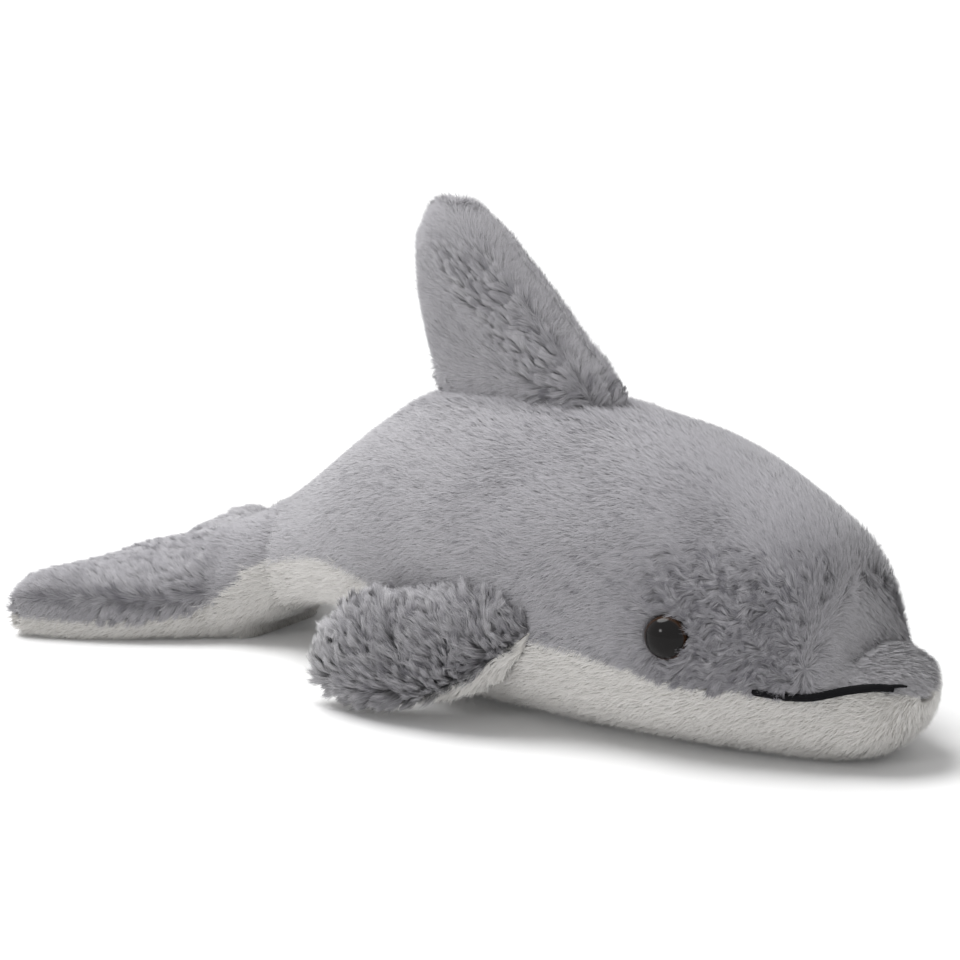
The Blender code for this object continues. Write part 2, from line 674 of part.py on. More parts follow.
def cut(item, tool):
    hole = item.modifiers.new(tool.name, "BOOLEAN")
    hole.operation = "DIFFERENCE"
    hole.solver = "EXACT"
    hole.object = tool


def make_eye(side, word, skin, filling, plastic, nylon):
    matrix = eye_matrix(side)
    seat = -EYE_SEAT_DEPTH + SEAM_GAP
    dome = [(EYE_RADIUS * np.cos(a), seat + EYE_FLANGE + EYE_DOME * np.sin(a))
            for a in np.linspace(np.pi / 2, 0.0, 7)]
    profile = dome + [(EYE_RADIUS, seat), (STEM_RADIUS, seat), (STEM_RADIUS, -STEM_END), (0.0, -STEM_END)]
    profile[0] = (0.0, profile[0][1])
    turned(f"eye_{word}", profile, 20, plastic).matrix_world = matrix
    hole = STEM_RADIUS + STEM_CLEARANCE
    ring = [(WASHER_RADIUS, -WASHER_DEPTH), (WASHER_RADIUS, -WASHER_DEPTH - WASHER_THICKNESS),
            (hole, -WASHER_DEPTH - WASHER_THICKNESS), (hole, -WASHER_DEPTH)]
    turned(f"eye_washer_{word}", ring, 20, nylon, close=True).matrix_world = matrix
    cut(skin, cutter(f"eye_seat_{word}", EYE_RADIUS + SEAM_GAP, -EYE_SEAT_DEPTH, 0.010, matrix))
    cut(skin, cutter(f"stem_hole_{word}", hole, -0.006, 0.010, matrix))
    cut(filling, cutter(f"washer_pocket_{word}", WASHER_RADIUS + SEAM_GAP, -STEM_END - SEAM_GAP, 0.010,
                        matrix))


# Embroidered mouth line, one on each side of the snout
def mouth_line(side, word, thread):
    xs = [x for x in np.linspace(MOUTH_CORNER_X, LAST_X, 60)
          if body_point(x, seam_turn(x))[1] > MOUTH_END_Y]
    end_x = xs[-1]
    curve = bpy.data.curves.new(f"mouth_line_{word}", "CURVE")
    curve.dimensions = "3D"
    curve.bevel_depth = MOUTH_THREAD_RADIUS
    curve.bevel_resolution = 1
    curve.use_fill_caps = True
    shares = np.linspace(0.0, 1.0, 14)
    spline = curve.splines.new("POLY")
    spline.points.add(len(shares) - 1)
    for point, share in zip(spline.points, shares):
        x = between(MOUTH_CORNER_X, end_x, np.sin(share * np.pi / 2))
        turn = seam_turn(x)
        inside = np.array([x, 0.0, body_section(x)[3]])
        normal = outward(body_point, x, turn, (TAIL_SEAM_X, LAST_X), (0.0, np.pi), inside)
        place = body_point(x, turn) + normal * (MOUTH_THREAD_RADIUS + SEAM_GAP)
        point.co = (*(place * (1, side, 1)), 1.0)
        point.radius = 0.45 + 0.55 * np.sin(np.pi * min(max(share, 0.06), 0.97)) ** 0.5
    item = bpy.data.objects.new(f"mouth_line_{word}", curve)
    item.data.materials.append(thread)
    dolphin.objects.link(item)
    return item


for item in list(bpy.data.objects):
    bpy.data.objects.remove(item, do_unlink=True)

dolphin = bpy.data.collections.new("plush_dolphin")
cutters = bpy.data.collections.new("cutters")
bpy.context.scene.collection.children.link(dolphin)
bpy.context.scene.collection.children.link(cutters)

grey_plush = plush("grey_plush", (0.37, 0.365, 0.38))
white_plush = plush("white_plush", (0.66, 0.65, 0.63))
fibre = plush("fibre_filling", (0.80, 0.80, 0.80))
eye_plastic = plush("eye_plastic", (0.010, 0.006, 0.005), 0.08)
washer_nylon = plush("washer_nylon", (0.75, 0.75, 0.72), 0.45)
black_thread = plush("black_thread", (0.006, 0.006, 0.007), 0.7)

side_right = side_panel("body_side_right", -1, grey_plush)
side_left = side_panel("body_side_left", 1, grey_plush)
belly("belly_panel", white_plush)
stuffing = body_filling("body_filling", fibre)
make_fin(grey_plush, fibre)
make_flukes(grey_plush, white_plush, fibre)
for side, word, skin in ((-1, "right", side_right), (1, "left", side_left)):
    make_flipper(side, word, grey_plush, white_plush, fibre)
    make_eye(side, word, skin, stuffing, eye_plastic, washer_nylon)
    mouth_line(side, word, black_thread)
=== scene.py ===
import math

import bmesh
import bpy
import numpy as np
from mathutils import Matrix, Vector
from mathutils.bvhtree import BVHTree
from mathutils.kdtree import KDTree


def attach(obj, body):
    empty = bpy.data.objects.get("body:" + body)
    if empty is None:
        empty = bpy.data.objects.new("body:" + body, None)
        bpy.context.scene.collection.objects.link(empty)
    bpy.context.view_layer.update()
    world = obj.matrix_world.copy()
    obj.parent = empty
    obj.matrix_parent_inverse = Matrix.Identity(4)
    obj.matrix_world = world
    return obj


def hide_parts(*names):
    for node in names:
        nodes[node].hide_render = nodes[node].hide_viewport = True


# Dresses a plush dolphin: fabric skins over the stuffed solids, and a combed pile of
# fine tapered blades on every visible panel. +X is the snout, +Y its left, +Z up.

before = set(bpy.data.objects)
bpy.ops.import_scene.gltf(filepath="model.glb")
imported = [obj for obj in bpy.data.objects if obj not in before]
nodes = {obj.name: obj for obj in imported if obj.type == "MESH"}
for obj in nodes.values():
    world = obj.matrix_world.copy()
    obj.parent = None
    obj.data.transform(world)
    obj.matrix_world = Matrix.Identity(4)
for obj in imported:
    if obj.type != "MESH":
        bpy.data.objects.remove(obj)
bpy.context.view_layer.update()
mm = 0.001
print("frame loaded:", len(nodes), "nodes")


# Shader helpers

class Value:
    # a socket that takes part in sums; plain numbers may stand on either side
    def __init__(self, tree, socket):
        self.tree = tree
        self.socket = socket

    def combine(self, operation, other, swapped=False):
        pair = [other, self] if swapped else [self, other]
        return self.tree.node("ShaderNodeMath", {"operation": operation}, pair)

    def __add__(self, other): return self.combine("ADD", other)
    def __radd__(self, other): return self.combine("ADD", other, True)
    def __mul__(self, other): return self.combine("MULTIPLY", other)
    def __rmul__(self, other): return self.combine("MULTIPLY", other, True)
    def __pow__(self, other): return self.combine("POWER", other)
    def __rpow__(self, other): return self.combine("POWER", other, True)


class Tree:
    # the nodes of a material or of the world
    def __init__(self, tree):
        self.tree = tree

    def put(self, socket, value):
        if isinstance(value, Value):
            self.tree.links.new(value.socket, socket)
        elif isinstance(value, tuple) and len(value) == 3 and socket.type == "RGBA":
            socket.default_value = (*value, 1.0)
        else:
            socket.default_value = value

    def node(self, kind, settings=None, inputs=(), output=0):
        made = self.tree.nodes.new(kind)
        for key, value in (settings or {}).items():
            if key == "stops":
                while len(made.color_ramp.elements) < len(value):
                    made.color_ramp.elements.new(1.0)
                for element, (place, color) in zip(made.color_ramp.elements, value):
                    element.position = place
                    element.color = (*color, 1.0)
            else:
                setattr(made, key, value)
        pairs = inputs.items() if isinstance(inputs, dict) else enumerate(inputs)
        for key, value in pairs:
            self.put(made.inputs[key], value)
        return Value(self, made.outputs[output])

    def mix(self, share, first, second, blend="MIX"):
        settings = {"data_type": "RGBA", "blend_type": blend}
        return self.node("ShaderNodeMix", settings, {0: share, 6: first, 7: second}, output=2)

    def background(self):
        # 1 where the camera, a reflection or a refraction looks straight at the background
        kinds = ("Is Camera Ray", "Is Glossy Ray", "Is Transmission Ray")
        camera, glossy, passing = (self.node("ShaderNodeLightPath", output=kind) for kind in kinds)
        return camera + glossy + passing

    def attribute(self, name):
        return self.node("ShaderNodeAttribute", {"attribute_name": name}, output=2)

    def place(self):
        return self.node("ShaderNodeTexCoord", output=3)

    def noise(self, scale, detail=2.0, roughness=0.5):
        inputs = {"Vector": self.place(), "Scale": scale, "Detail": detail, "Roughness": roughness}
        return self.node("ShaderNodeTexNoise", {}, inputs)


class Finish(Tree):
    # a material under construction; plain holds the numbers that are the same all over
    def __init__(self, name, plain):
        self.material = bpy.data.materials.new(name)
        self.material.use_nodes = True
        super().__init__(self.material.node_tree)
        self.shader = self.tree.nodes["Principled BSDF"]
        for socket, value in plain.items():
            self.shader.inputs[socket].default_value = value

    def bump(self, height, strength, distance):
        inputs = {"Strength": strength, "Distance": distance, "Height": height}
        self.put(self.shader.inputs["Normal"], self.node("ShaderNodeBump", {}, inputs))

    def color(self, value):
        self.put(self.shader.inputs["Base Color"], value)
        return self.material


# Vector and noise helpers for the pile

def unit(rows):
    return rows / np.maximum(np.linalg.norm(rows, axis=-1, keepdims=True), 1e-12)


def clamp(values, low=0.0, high=1.0):
    return np.clip(values, low, high)


def ramp(values, start, end):
    # smooth step from 0 at start to 1 at end
    t = clamp((values - start) / (end - start))
    return t * t * (3 - 2 * t)


def ripple(points, size, seed, grain=None, stretch=1.0, count=14):
    # sum of waves of about this size, near -1 to 1; grain stretches it one way
    rng = np.random.default_rng(seed)
    if grain is not None:
        grain = np.array(grain, float) / np.linalg.norm(grain)
        points = points - np.outer(points @ grain, grain) * (1 - 1 / stretch)
    way = unit(rng.normal(size=(count, 3))) * (2 * math.pi / (size * rng.uniform(0.7, 1.4, count)))[:, None]
    phase = points @ way.T + rng.uniform(0, 2 * math.pi, count)
    return np.sin(phase).sum(1) * math.sqrt(2 / count)


# Skins

fabric = {
    "creaseAngle": 50, "sharpAngle": 55,      # degrees; sewn edges are sharper than this
    "squareness": 2.5, "panelDepth": 1.2 * mm, "fill": 0.9,
}


def skinOf(name, nodeName, levels=1, press=None):
    # the node's shell, merged back into quads and rounded between its sewn edges
    bm = bmesh.new()
    bm.from_mesh(nodes[nodeName].data)
    bmesh.ops.remove_doubles(bm, verts=bm.verts, dist=1e-6)
    bmesh.ops.join_triangles(bm, faces=bm.faces, angle_face_threshold=1.0,
                              angle_shape_threshold=fabric["squareness"])
    crease = bm.edges.layers.float.new("crease_edge")
    for edge in bm.edges:
        edge[crease] = 1.0 if edge.calc_face_angle(0.0) > math.radians(fabric["creaseAngle"]) else 0.0
    if press:
        for vert in bm.verts:
            vert.co += press(vert.co)
    mesh = bpy.data.meshes.new(name)
    bm.to_mesh(mesh)
    bm.free()
    skin = bpy.data.objects.new(name, mesh)
    bpy.context.scene.collection.objects.link(skin)
    finer = skin.modifiers.new("finer", "SUBSURF")
    finer.levels = finer.render_levels = levels
    bpy.context.view_layer.update()
    smooth = bpy.data.meshes.new_from_object(skin.evaluated_get(bpy.context.evaluated_depsgraph_get()))
    skin.modifiers.clear()
    skin.data = smooth
    skin.data.name = name
    smooth.shade_smooth()
    smooth.set_sharp_from_angle(angle=math.radians(fabric["sharpAngle"]))
    return skin


def corners(mesh):
    co = np.empty(len(mesh.vertices) * 3, np.float64)
    mesh.vertices.foreach_get("co", co)
    return co.reshape(-1, 3)


def outerPatch(skin, fillingName, facing=0.2):
    # triangles of the skin that look away from the filling; facing says how squarely
    bm = bmesh.new()
    bm.from_mesh(nodes[fillingName].data)
    core = BVHTree.FromBMesh(bm)
    bm.free()
    mesh = skin.data
    outer = set()
    for face in mesh.polygons:
        away = face.center - core.find_nearest(face.center)[0]
        if away.length > fabric["panelDepth"] and away.normalized().dot(face.normal) > facing:
            outer.add(face.index)
    return trianglesOf(mesh, outer)


def trianglesOf(mesh, faces):
    # corner places, smooth normals, triangles and their areas, of these faces
    mesh.calc_loop_triangles()
    co = corners(mesh)
    tris = np.array([t.vertices[:] for t in mesh.loop_triangles if t.polygon_index in faces])
    a, b, c = (co[tris[:, i]] for i in range(3))
    cross = np.cross(b - a, c - a)
    normals = np.zeros_like(co)
    for i in range(3):
        np.add.at(normals, tris[:, i], cross)
    return co, unit(normals), tris, np.linalg.norm(cross, axis=1) / 2


mouth = {
    "plump": 0.35 * mm, "clear": 0.9 * mm, "sink": 2.6 * mm, "sinkFrom": (0.121, 0.130),
    "thread": 0.62 * mm, "tipClear": 0.62 * mm,
    "tip": ((0.1330, -0.0138, 0.0240), (0.1351, -0.0124, 0.0244), (0.1368, -0.0110, 0.0247),
            (0.1381, -0.0097, 0.0246), (0.1386, -0.0088, 0.0243)),
}


def offMouth(root, normal):
    # the strands whose feet aren't on the embroidered line
    keep = distanceTo(root, "mouth_line_right") > mouth["clear"]
    keep &= (distanceTo(root, "mouth_line_left") > mouth["clear"]) | (root[:, 0] > mouth["sinkFrom"][0])
    for point in mouth["tip"]:
        keep &= np.linalg.norm(root - np.array(point), axis=1) > mouth["tipClear"]
    return root[keep], normal[keep]


def scatter(patch, count, rng, density=None):
    # points spread over a patch, and their normals; density says where they stand closer
    co, normals, tris, areas = patch
    if density:
        areas = areas * density(co[tris].mean(1))
    picked = rng.choice(len(tris), count, p=areas / areas.sum())
    u, v = rng.random(count), rng.random(count)
    flip = u + v > 1
    u[flip], v[flip] = 1 - u[flip], 1 - v[flip]
    weights = np.stack([1 - u - v, u, v], 1)[:, :, None]
    place = (co[tris[picked]] * weights).sum(1)
    return place, unit((normals[tris[picked]] * weights).sum(1))


def distanceTo(points, *nodeNames):
    # how far each point lies from the nearest of these solids
    bm = bmesh.new()
    for nodeName in nodeNames:
        bm.from_mesh(nodes[nodeName].data)
    tree = BVHTree.FromBMesh(bm)
    bm.free()
    return np.array([tree.find_nearest(point)[3] for point in points])


# Pile

blade = {
    "sunk": 0.3 * mm, "reach": 0.97, "heights": (0.75, 1.15), "widths": (0.7, 1.2), "waist": 0.8, "bow": 0.3,
    "twist": 0.8, "tuftReach": (0.8, 1.25), "tuftTone": 0.17, "tilt": (-1.6, 0.6), "lowest": 0.05 * mm,
}


def tuftCentres(root, spacing, rng):
    # a tuft's foot for every blade: the nearest of some scattered roots
    area = math.pi * spacing * spacing
    spread = np.ptp(root, axis=0)
    count = max(int((spread[0] * spread[1] + spread[1] * spread[2] + spread[2] * spread[0]) / area), 8)
    chosen = rng.choice(len(root), min(count, len(root)), replace=False)
    tree = KDTree(len(chosen))
    for i, index in enumerate(chosen):
        tree.insert(root[index], i)
    tree.balance()
    return chosen[[tree.find(point)[1] for point in root]]


def makePile(name, root, normal, comb, style, tone, material, rng):
    # comb is the lie of the pile; style holds the blades' length, height, width and gathering
    count = len(root)
    along = unit(comb - normal * (comb * normal).sum(1, keepdims=True))
    across = np.cross(normal, along)
    vary = 1 + style["uneven"] * rng.uniform(-1, 1, count)
    length = style["length"] * vary
    height = style["height"] * vary * rng.uniform(*blade["heights"], count)
    along = unit(along + across * rng.normal(0, style["stray"], count)[:, None])
    across = np.cross(normal, along)
    foot = root - normal * blade["sunk"]
    tip = root + along * (length * blade["reach"])[:, None] + normal * height[:, None]
    gather = np.broadcast_to(np.asarray(style["gather"], float), (count,))
    bunched = gather > 0.02
    if bunched.any():
        own = np.nonzero(bunched)[0]
        leader = own[tuftCentres(root[own], style["tuft"], rng)]
        grow = rng.uniform(*blade["tuftReach"], count)[leader][:, None]
        peak = root[leader] + (tip[leader] - root[leader]) * grow
        share = gather[own][:, None]
        tip[own] = tip[own] * (1 - share) + peak * share
        tone = tone.copy()
        tone[own] += gather[own] * rng.normal(0, blade["tuftTone"], count)[leader]
    middle = foot + (tip - foot) * 0.5 + normal * (height * blade["bow"])[:, None]
    twist = rng.uniform(-blade["twist"], blade["twist"], count)
    flat = across * np.cos(twist)[:, None] + normal * np.sin(twist)[:, None]
    side = flat * (style["width"] * rng.uniform(*blade["widths"], count) / 2)[:, None]
    waist = side * blade["waist"]
    if style["bent"]:
        rows = [foot - side, foot + side, middle - waist, middle + waist, tip]
        shape, steps = [[0, 3, 1], [0, 2, 3], [2, 4, 3]], [0.0, 0.0, 0.55, 0.55, 1.0]
    else:
        rows = [foot - side, foot + side, tip]
        shape, steps = [[0, 2, 1]], [0.0, 0.0, 1.0]
    corner = len(rows)
    verts = np.stack(rows, 1)
    rise = np.tile(np.array(steps), (count, 1))
    glint = style["glint"]
    # the shading normals lie near the skin's own, so that the pile is lit as one surface
    shine = normal + flat * (np.sin(twist) * glint)[:, None]
    shine = shine + across * rng.normal(0, glint, count)[:, None]
    shine = unit(shine + along * rng.uniform(*blade["tilt"], count)[:, None] * glint)
    verts[:, :, 2] = np.maximum(verts[:, :, 2], blade["lowest"])
    tris = (np.arange(count)[:, None, None] * corner + np.array(shape)).reshape(-1, 3)
    tone = clamp(tone, 0.01, 0.99)
    # on the map, tone runs across and rise runs up, and each blade is a sliver
    spread = np.array([-1, 1] * (corner // 2) + [0]) * 0.003
    uv = np.stack([tone[:, None] + spread, 0.02 + 0.96 * rise], 2).reshape(-1, 2)
    mesh = bpy.data.meshes.new(name)
    mesh.vertices.add(count * corner)
    mesh.vertices.foreach_set("co", verts.astype(np.float32).ravel())
    mesh.loops.add(len(tris) * 3)
    mesh.loops.foreach_set("vertex_index", tris.astype(np.int32).ravel())
    mesh.polygons.add(len(tris))
    mesh.polygons.foreach_set("loop_start", np.arange(0, len(tris) * 3, 3, dtype=np.int32))
    mesh.update(calc_edges=True)
    mesh.shade_smooth()
    for key, values in (("tone", np.repeat(tone, corner)), ("rise", rise.ravel())):
        mesh.attributes.new(key, "FLOAT", "POINT").data.foreach_set("value", values.astype(np.float32))
    mesh.uv_layers.new(name="OFBake").data.foreach_set("uv", uv[tris.ravel()].astype(np.float32).ravel())
    mesh.normals_split_custom_set_from_vertices(np.repeat(shine, corner, axis=0).tolist())
    mesh.materials.append(material)
    pile = bpy.data.objects.new(name, mesh)
    bpy.context.scene.collection.objects.link(pile)
    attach(pile, "root")
    print("pile", name, count, "blades,", len(tris), "triangles")


def pileFinish(name, dark, mid, light, root, fade=0.7):
    # tone picks the strand's colour, rise darkens its foot to root times the middle colour as painted shade
    # deep in the pile
    plain = {"Roughness": 0.85, "Specular IOR Level": 0.15, "Sheen Weight": 0.55, "Sheen Roughness": 0.4}
    finish = Finish(name, plain)
    tone = finish.attribute("tone")
    strand = finish.node("ShaderNodeValToRGB", {"stops": [(0.0, dark), (0.5, mid), (1.0, light)]}, [tone])
    foot = finish.attribute("rise") ** fade
    return finish.color(finish.mix(foot, tuple(root * c for c in mid), strand))


def skinFinish(name, color, speckle):
    # the backing seen between the strands
    finish = Finish(name, {"Roughness": 0.95, "Sheen Weight": 0.15})
    weave = finish.noise(900.0, 3.0, 0.6)
    patches = finish.noise(60.0, 2.0)
    shade = (weave * 0.7 + patches * 0.3) * speckle + (1 - speckle / 2)
    finish.bump(weave, 0.4, 0.0004)
    grey = finish.node("ShaderNodeCombineColor", {}, [shade, shade, shade])
    return finish.color(finish.mix(1.0, color, grey, "MULTIPLY"))


greyPile = pileFinish("grey_pile", (0.17, 0.165, 0.19), (0.58, 0.57, 0.60), (0.78, 0.77, 0.79), 0.45)
whitePile = pileFinish("white_pile", (0.56, 0.52, 0.47), (0.92, 0.90, 0.87), (0.97, 0.96, 0.94), 0.75)
greyShag = pileFinish("grey_shag", (0.14, 0.135, 0.16), (0.50, 0.49, 0.52), (0.80, 0.79, 0.81), 0.26, 1.1)
greyBacking = skinFinish("grey_backing", (0.26, 0.255, 0.27), 0.4)
whiteBacking = skinFinish("white_backing", (0.62, 0.60, 0.57), 0.3)


# Body

body = {
    "length": 2.8 * mm, "height": 1.3 * mm, "width": 0.27 * mm, "uneven": 0.3, "stray": 0.35,
    "tuft": 1.1 * mm, "glint": 0.10, "bent": False,
    "faceStart": 0.062, "faceTop": 0.050, "beakStart": 0.117, "eye": (0.082, 0.0345), "eyeClear": 5.6 * mm,
    # the face's darkening on the next line is painted shade on the cheeks
    "faceLength": 0.25, "faceHeight": 0.75, "faceGather": 0.66, "facePaintedShade": 0.16, "facePull": 1.1,
    "finRear": -0.024, "finFront": 0.046, "finHalf": 12 * mm,
    # the darkening beside the fin on the next line is painted shade at the fin's base
    "finLength": 0.25, "finHeight": 0.5, "finGather": 0.3, "finBasePaintedShade": 0.10,
    "swirl": 0.25, "browRise": 1.3, "eyePart": 1.5, "hang": 0.7, "hangGather": 0.1, "rimHeight": 0.5,
    # the dashes are painted shade where the pile parts
    "level": 0.60, "speckle": 0.04, "dashSize": 1.7 * mm, "dashDepth": 0.30,
    # painted light on the tail and on the snout, painted shade on the front half and on the head
    "tailPaintedLight": 0.08, "frontPaintedShade": 0.08, "beakPaintedLight": 0.32, "headPaintedShade": 0.05,
    "folds": [((0.018, 0.0387, 0.056), (0.024, 0.0327, 0.067)),
              ((0.024, 0.0327, 0.067), (0.050, 0.0164, 0.079))],
    "foldDepth": 1.2 * mm, "foldWidth": 8 * mm,
}


def bodyFolds(point):
    # the soft folds of the flanks: points near them sink towards the middle of the body
    sunk = Vector((0, 0, 0))
    for start, end in body["folds"]:
        start, end = Vector(start), Vector(end)
        place = Vector((point.x, abs(point.y), point.z))
        share = min(max((place - start).dot(end - start) / (end - start).length_squared, 0.0), 1.0)
        near = 1 - min((place - start.lerp(end, share)).length / body["foldWidth"], 1.0)
        inward = Vector((0, -point.y, 0.045 - point.z)).normalized()
        push = inward * (body["foldDepth"] * near * near * (3 - 2 * near))
        sunk = max(sunk, push, key=lambda move: move.length)
    return sunk


def bodyComb(root, normal, low):
    # back along the body, up over the brow and apart behind the eye; low is 1 along the seam
    # with the belly, where the strands hang over the white
    x, z = root[:, 0], root[:, 2]
    comb = np.stack([-np.ones_like(x), np.zeros_like(x), -0.25 - 0.2 * ramp(x, -0.02, 0.05)], 1)
    swirl = ripple(root, 26 * mm, 5)
    comb[:, 2] += body["swirl"] * swirl + body["browRise"] * ramp(normal[:, 0], 0.25, 0.75)
    messy = ripple(root, 5 * mm, 8)
    comb[:, 2] += faceShare(root) * messy * body["facePull"]
    eyeX, eyeZ = body["eye"]
    away = np.stack([x - eyeX, np.zeros_like(x), z - eyeZ], 1)
    near = 1 - ramp(np.linalg.norm(away, axis=1), 6 * mm, 12 * mm)
    near *= 1 - ramp(x, eyeX, eyeX + 3 * mm)      # ahead of the eye the strands lie over its rim
    comb += unit(away) * (near * body["eyePart"])[:, None]
    comb[:, 2] -= body["hang"] * low
    beak = ramp(x, body["beakStart"] - 0.007, body["beakStart"] + 0.006)
    comb = comb * (1 - beak[:, None]) + np.array([1.0, 0.0, -0.25]) * beak[:, None]
    return comb


def bodyTone(root, rng):
    x = root[:, 0]
    # the dashes are painted shade in the partings of the pile
    dashes = ripple(root, body["dashSize"], 21, (1, 0, 0.25), 3.2, 22)
    broad = ripple(root, 22 * mm, 22, (1, 0, 0), 1.3)
    tone = body["level"] - body["dashDepth"] * ramp(dashes, 1.15, 2.1) + 0.02 * broad
    tone += rng.normal(0, body["speckle"], len(x))
    # painted light on the rear of the body and painted shade on its front half
    tone += body["tailPaintedLight"] * (1 - ramp(x, -0.060, 0.010)) - body["frontPaintedShade"] * ramp(x, 0.0, 0.03)
    # painted light on the snout
    tone += body["beakPaintedLight"] * ramp(x, 0.113, 0.123)
    # painted shade on the head behind the snout
    tone -= body["headPaintedShade"] * ramp(x, 0.06, 0.09) * (1 - ramp(x, 0.108, 0.118))
    return clamp(tone)


def finBase(root):
    # 1 on the back right beside the dorsal fin
    x, y, z = root.T
    along = ramp(x, body["finRear"] - 0.004, body["finRear"] + 0.002)
    along *= 1 - ramp(x, body["finFront"] - 0.002, body["finFront"] + 0.004)
    return along * (1 - ramp(np.abs(y), body["finHalf"], body["finHalf"] + 3 * mm)) * ramp(z, 0.068, 0.074)


def faceShare(root):
    # 1 on the tousled cheeks, 0 on the combed head, the snout and the middle of the brow
    x, y, z = root.T
    cheek = np.maximum(ramp(np.abs(y), 0.0, 14 * mm), 1 - ramp(z, 0.040, 0.052))
    snout = ramp(x, body["beakStart"] - 0.005, body["beakStart"] + 0.004)
    face = ramp(x, body["faceStart"], body["faceStart"] + 0.02)
    face *= 1 - ramp(z, body["faceTop"], body["faceTop"] + 0.012)
    return face * cheek * (1 - 0.8 * snout)


def dressBody(word, blades, seed):
    rng = np.random.default_rng(seed)
    skin = skinOf(f"body_side_{word}_skin", f"body_side_{word}", press=bodyFolds)
    skin.data.materials.clear()
    skin.data.materials.append(greyBacking)
    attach(skin, "root")
    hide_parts(f"body_side_{word}")
    patch = outerPatch(skin, "body_filling")
    root, normal = scatter(patch, blades, rng, lambda place: 1 + ramp(place[:, 0], 0.055, 0.075))
    eyeX, eyeZ = body["eye"]
    keep = np.hypot(root[:, 0] - eyeX, root[:, 2] - eyeZ) > body["eyeClear"]
    root, normal = offMouth(root[keep], normal[keep])
    face = faceShare(root)
    low = 1 - ramp(distanceTo(root, "belly_panel"), 0.5 * mm, 4 * mm)
    beside = finBase(root)
    style = dict(body)
    # just ahead of the eye the strands stand up and lie over its rim
    rim = 1 - ramp(np.hypot(root[:, 0] - eyeX - 7 * mm, root[:, 2] - eyeZ + 1 * mm), 2 * mm, 5 * mm)
    longer = 1 + body["faceLength"] * face * (1 - low) + body["finLength"] * beside
    higher = 1 + body["faceHeight"] * face + body["finHeight"] * beside + body["rimHeight"] * rim
    gather = body["faceGather"] * face * (1 - 0.6 * low) + body["finGather"] * beside
    gather += body["hangGather"] * low
    style["length"] = body["length"] * longer
    style["height"] = body["height"] * higher
    style["gather"] = clamp(gather)
    # painted shade beside the fin's base and on the cheeks
    tone = bodyTone(root, rng) - body["finBasePaintedShade"] * beside - body["facePaintedShade"] * face
    comb = bodyComb(root, normal, low)
    makePile(f"body_side_{word}_pile", root, normal, comb, style, tone, greyPile, rng)


dressBody("right", 190000, 10)
dressBody("left", 115000, 12)


# Belly

belly = {
    "blades": 100000, "length": 3.2 * mm, "height": 1.3 * mm, "width": 0.34 * mm, "uneven": 0.3, "stray": 0.4,
    "tuft": 1.8 * mm, "gather": 0.12, "glint": 0.12, "bent": False, "seed": 41,
}


def dressPlain(nodeName, fillingName, backing, material, style, comb, tone, shape=None, density=None,
               facing=0.2):
    # one panel's skin and pile; shape gives the values that change over it
    rng = np.random.default_rng(style["seed"])
    skin = skinOf(nodeName + "_skin", nodeName)
    skin.data.materials.clear()
    skin.data.materials.append(backing)
    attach(skin, "root")
    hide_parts(nodeName)
    root, normal = scatter(outerPatch(skin, fillingName, facing), style["blades"], rng, density)
    if nodeName == "belly_panel":
        root, normal = offMouth(root, normal)
    if shape:
        style = dict(style, **shape(root))
    way, shade = comb(root, normal), tone(root, rng)
    makePile(nodeName + "_pile", root, normal, way, style, shade, material, rng)


def combTowards(*way):
    return lambda root, normal: np.tile(np.array(way, float), (len(root), 1))


def speckledTone(level, depth, size, grain):
    def tone(root, rng):
        dashes = ripple(root, size, 77, grain, 2.5)
        return clamp(level - depth * ramp(dashes, 0.3, 1.7) + rng.normal(0, 0.05, len(root)))
    return tone


dressPlain("belly_panel", "body_filling", whiteBacking, whitePile, belly,
           combTowards(-1, 0, -0.2), speckledTone(0.6, 0.08, 2.5 * mm, (1, 0, 0)),
           density=lambda place: 0.35 + 0.65 * ramp(place[:, 2], 0.5 * mm, 3 * mm))


# Dorsal fin

fin = {
    "blades": 62000, "length": 3.6 * mm, "height": 1.5 * mm, "width": 0.26 * mm,
    "uneven": 0.35, "stray": 0.35, "tuft": 1.4 * mm, "glint": 0.14, "bent": False, "seed": 51,
    "parting": 8 * mm, "base": 0.0850,
    # the dashes are painted shade between the tufts
    "level": 0.61, "speckle": 0.05, "dashSize": 1.8 * mm, "dashDepth": 0.22,
    # painted light along the front edge; painted shade in the middle, along the parting and at the base
    "frontPaintedLight": 0.07, "paleTip": 0.05, "middlePaintedShade": 0.08, "partingPaintedShade": 0.14, "basePaintedShade": 0.14,
}


def finEdge(root):
    # how far each root lies behind the fin's front edge
    x, z = root[:, 0], root[:, 2]
    rows = np.clip(((z - z.min()) / (2 * mm)).astype(int), 0, None)
    front = np.full(rows.max() + 1, -1.0)
    np.maximum.at(front, rows, x)
    return front[rows] - x


def finComb(root, normal):
    behind = finEdge(root)
    ahead = 1 - ramp(behind, fin["parting"] * 0.6, fin["parting"] * 1.2)
    swirl = ripple(root, 12 * mm, 53)
    comb = np.array([-0.65, 0, 0.75]) * (1 - ahead[:, None]) + np.array([0.35, 0, 0.9]) * ahead[:, None]
    comb[:, 2] += 0.35 * swirl
    base = (1 - ramp(root[:, 2], fin["base"], fin["base"] + 0.005)) * ramp(behind, 8 * mm, 14 * mm)
    return comb * (1 - 0.75 * base[:, None]) + np.array([-0.4, 0, -0.7]) * (0.75 * base[:, None])


